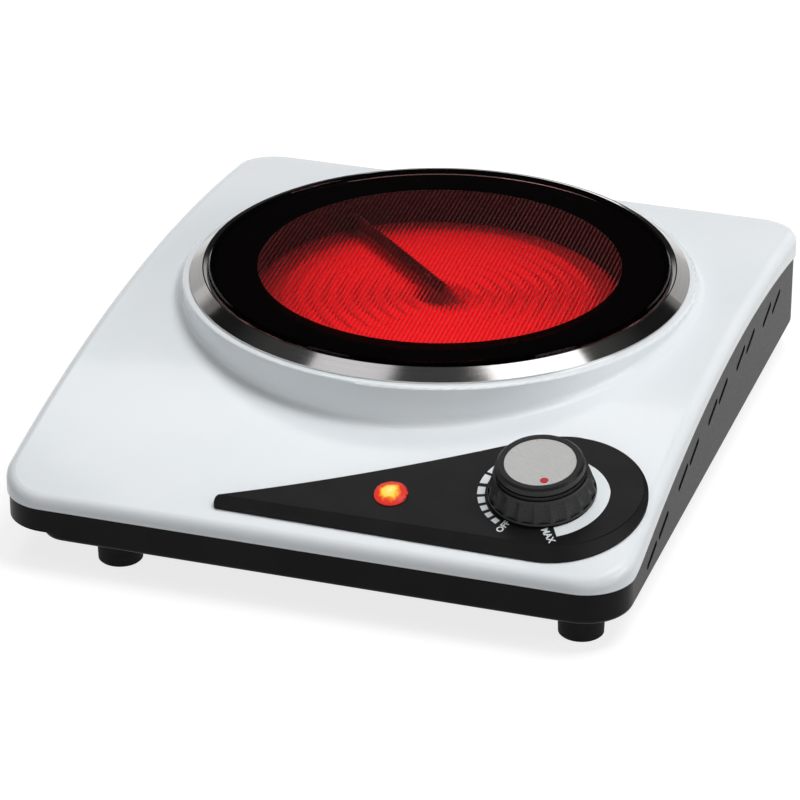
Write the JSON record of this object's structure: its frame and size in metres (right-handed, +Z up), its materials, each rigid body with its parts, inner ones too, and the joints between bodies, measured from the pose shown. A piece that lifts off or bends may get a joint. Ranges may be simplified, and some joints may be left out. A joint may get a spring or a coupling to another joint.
{
  "type": "hot plate burner",
  "caption": "Portable single hot plate: round ceramic glass with a steel trim ring over a glowing radiant heater, arched enamelled housing, front control panel with turning knob and pilot lamp.",
  "frame": {"origin": "on the floor under the middle of the overall box", "axes": "+X to the right, +Y to the back, +Z up"},
  "size_m": [0.24, 0.284, 0.066],
  "materials": {
    "white_enamel": "gloss",
    "black_pan": "satin",
    "black_panel": "satin",
    "black_knob": "satin",
    "ring_steel": "polished",
    "dark_glass": "gloss",
    "insulation": "matte",
    "hot_wire": "glowing",
    "sheet_steel": "plain",
    "screw_steel": "plain",
    "disc_aluminium": "brushed",
    "black_rubber": "matte",
    "amber_lens": "clear",
    "lamp_glow": "glowing",
    "white_ceramic": "matte",
    "brown_moulding": "matte",
    "brass_parts": "plain",
    "seal_fibre": "matte",
    "lead_brown": "matte",
    "lead_white": "matte"
  },
  "bodies": {
    "housing": {"top_cover": "white_enamel", "base_pan": "black_pan", "control_panel": "black_panel", "panel_clips": "screw_steel", "trim_ring": "ring_steel", "glass_seal": "seal_fibre", "glass_plate": "dark_glass", "heater_dish": "sheet_steel", "heater_base_board": "insulation", "heater_rim_board": "insulation", "heating_coil": "hot_wire", "limiter_rod": "white_ceramic", "limiter_switch": "white_ceramic", "heater_terminal": "white_ceramic", "heater_bracket": "sheet_steel", "bracket_screws": "screw_steel", "cover_screws": "screw_steel", "foot_screws": "screw_steel", "regulator_bush": "brass_parts", "regulator_nut": "brass_parts", "regulator_body": "brown_moulding", "regulator_tabs": "brass_parts", "lamp_lens": "amber_lens", "lamp_body": "lead_white", "lamp_bulb": "lamp_glow", "cord_gland": "black_knob", "gland_nut": "black_knob", "terminal_block": "white_ceramic", "terminal_screws": "brass_parts", "lead_live": "lead_brown", "lead_limiter": "lead_white", "foot_front_left": "black_rubber", "foot_front_right": "black_rubber", "foot_rear_left": "black_rubber", "foot_rear_right": "black_rubber"},
    "knob": {"knob": "black_knob", "knob_disc": "disc_aluminium", "regulator_shaft": "brass_parts"}
  },
  "joints": [
    {"name": "knob_turn", "type": "hinge", "parent": "housing", "child": "knob", "pos_m": [0.0794, -0.10359, 0.04159], "axis": [0, -0.2231, 0.9748], "range_deg": [0, 312]}
  ]
}
